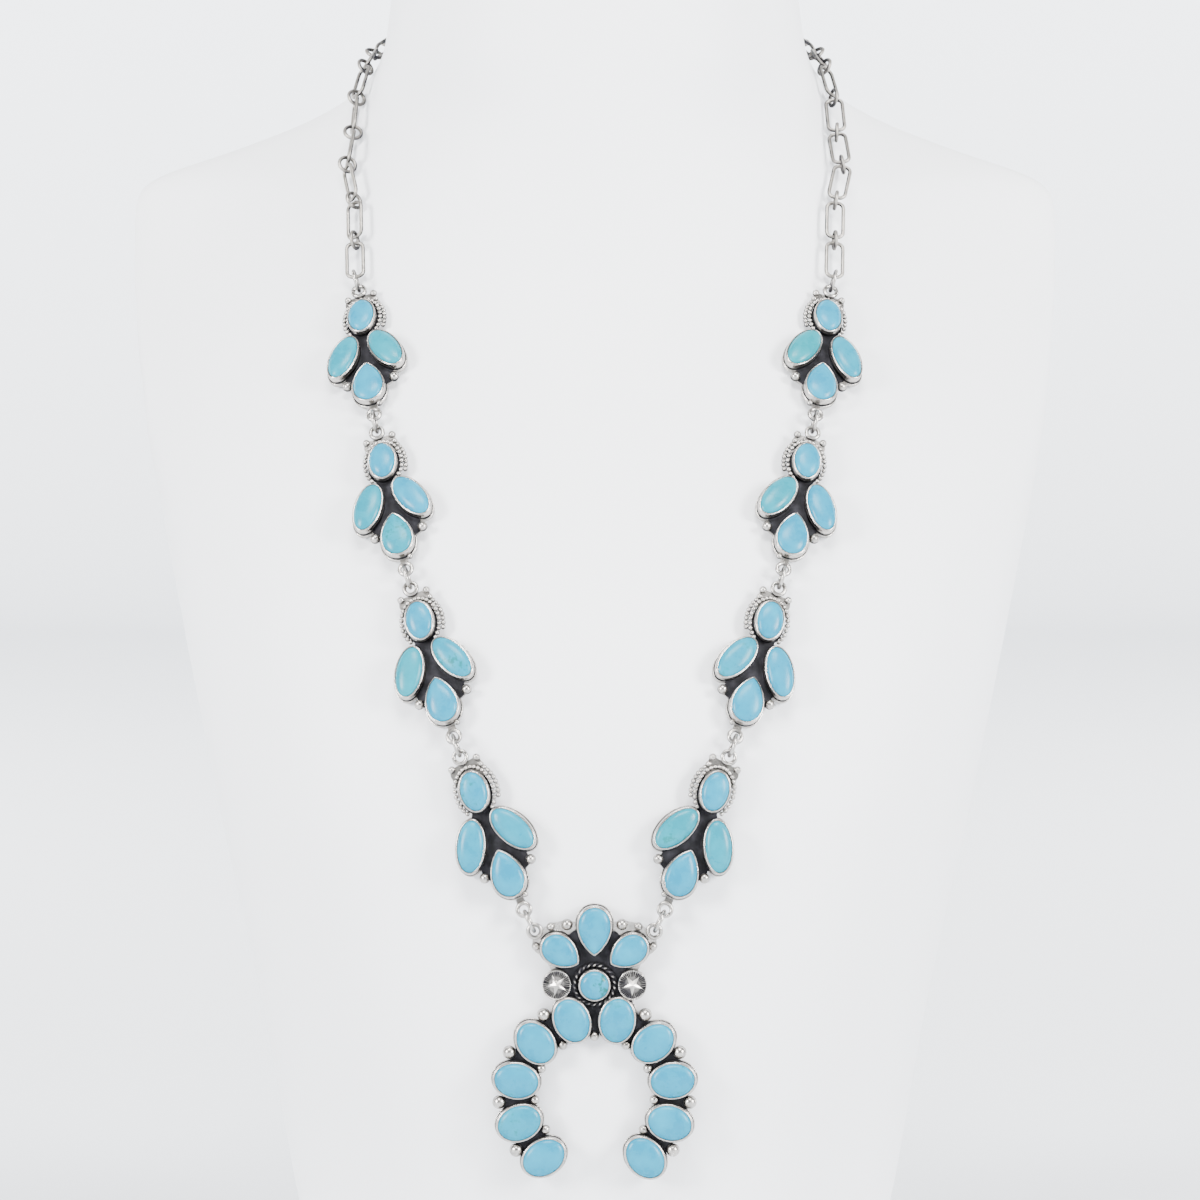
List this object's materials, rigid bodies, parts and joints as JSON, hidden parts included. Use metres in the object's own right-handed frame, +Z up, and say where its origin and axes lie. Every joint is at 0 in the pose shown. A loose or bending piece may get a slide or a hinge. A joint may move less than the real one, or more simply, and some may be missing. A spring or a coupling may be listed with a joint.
{
  "type": "squash blossom necklace on a neck bust",
  "caption": "Squash blossom necklace of turquoise cabochons in silver bezels, with a paperclip chain and a horseshoe naja pendant, worn by a plain white neck bust.",
  "frame": {"origin": "middle of the bust's flat foot, below the middle between the chest and the back", "axes": "+Z up along the bust, -Y to the front where the pendant lies, +X to the viewer's right"},
  "size_m": [0.2538, 0.1893, 0.385],
  "materials": {
    "bust": "smooth matte white",
    "silver": "polished silver, blackened in its hollows",
    "chain_silver": "polished silver wire, slightly darker than the settings",
    "turquoise": "polished sky-blue stone, some stones greener or lightly veined"
  },
  "bodies": {
    "root": {"bust": "bust", "chain": "chain_silver", "clasp": "chain_silver", "jump_rings": "silver", "pendant_setting": "silver", "crest_stone": "turquoise", "round_stone": "turquoise", "left_wing_stone": "turquoise", "right_wing_stone": "turquoise", "left_naja_stone_1": "turquoise", "left_naja_stone_2": "turquoise", "left_naja_stone_3": "turquoise", "left_naja_stone_4": "turquoise", "left_naja_stone_5": "turquoise", "right_naja_stone_1": "turquoise", "right_naja_stone_2": "turquoise", "right_naja_stone_3": "turquoise", "right_naja_stone_4": "turquoise", "right_naja_stone_5": "turquoise", "left_blossom_1_setting": "silver", "left_blossom_2_setting": "silver", "left_blossom_3_setting": "silver", "left_blossom_4_setting": "silver", "right_blossom_1_setting": "silver", "right_blossom_2_setting": "silver", "right_blossom_3_setting": "silver", "right_blossom_4_setting": "silver", "left_blossom_1_small_stone": "turquoise", "left_blossom_1_outer_stone": "turquoise", "left_blossom_1_inner_stone": "turquoise", "left_blossom_1_pear_stone": "turquoise", "left_blossom_2_small_stone": "turquoise", "left_blossom_2_outer_stone": "turquoise", "left_blossom_2_inner_stone": "turquoise", "left_blossom_2_pear_stone": "turquoise", "left_blossom_3_small_stone": "turquoise", "left_blossom_3_outer_stone": "turquoise", "left_blossom_3_inner_stone": "turquoise", "left_blossom_3_pear_stone": "turquoise", "left_blossom_4_small_stone": "turquoise", "left_blossom_4_outer_stone": "turquoise", "left_blossom_4_inner_stone": "turquoise", "left_blossom_4_pear_stone": "turquoise", "right_blossom_1_small_stone": "turquoise", "right_blossom_1_outer_stone": "turquoise", "right_blossom_1_inner_stone": "turquoise", "right_blossom_1_pear_stone": "turquoise", "right_blossom_2_small_stone": "turquoise", "right_blossom_2_outer_stone": "turquoise", "right_blossom_2_inner_stone": "turquoise", "right_blossom_2_pear_stone": "turquoise", "right_blossom_3_small_stone": "turquoise", "right_blossom_3_outer_stone": "turquoise", "right_blossom_3_inner_stone": "turquoise", "right_blossom_3_pear_stone": "turquoise", "right_blossom_4_small_stone": "turquoise", "right_blossom_4_outer_stone": "turquoise", "right_blossom_4_inner_stone": "turquoise", "right_blossom_4_pear_stone": "turquoise"}
  },
  "joints": []
}
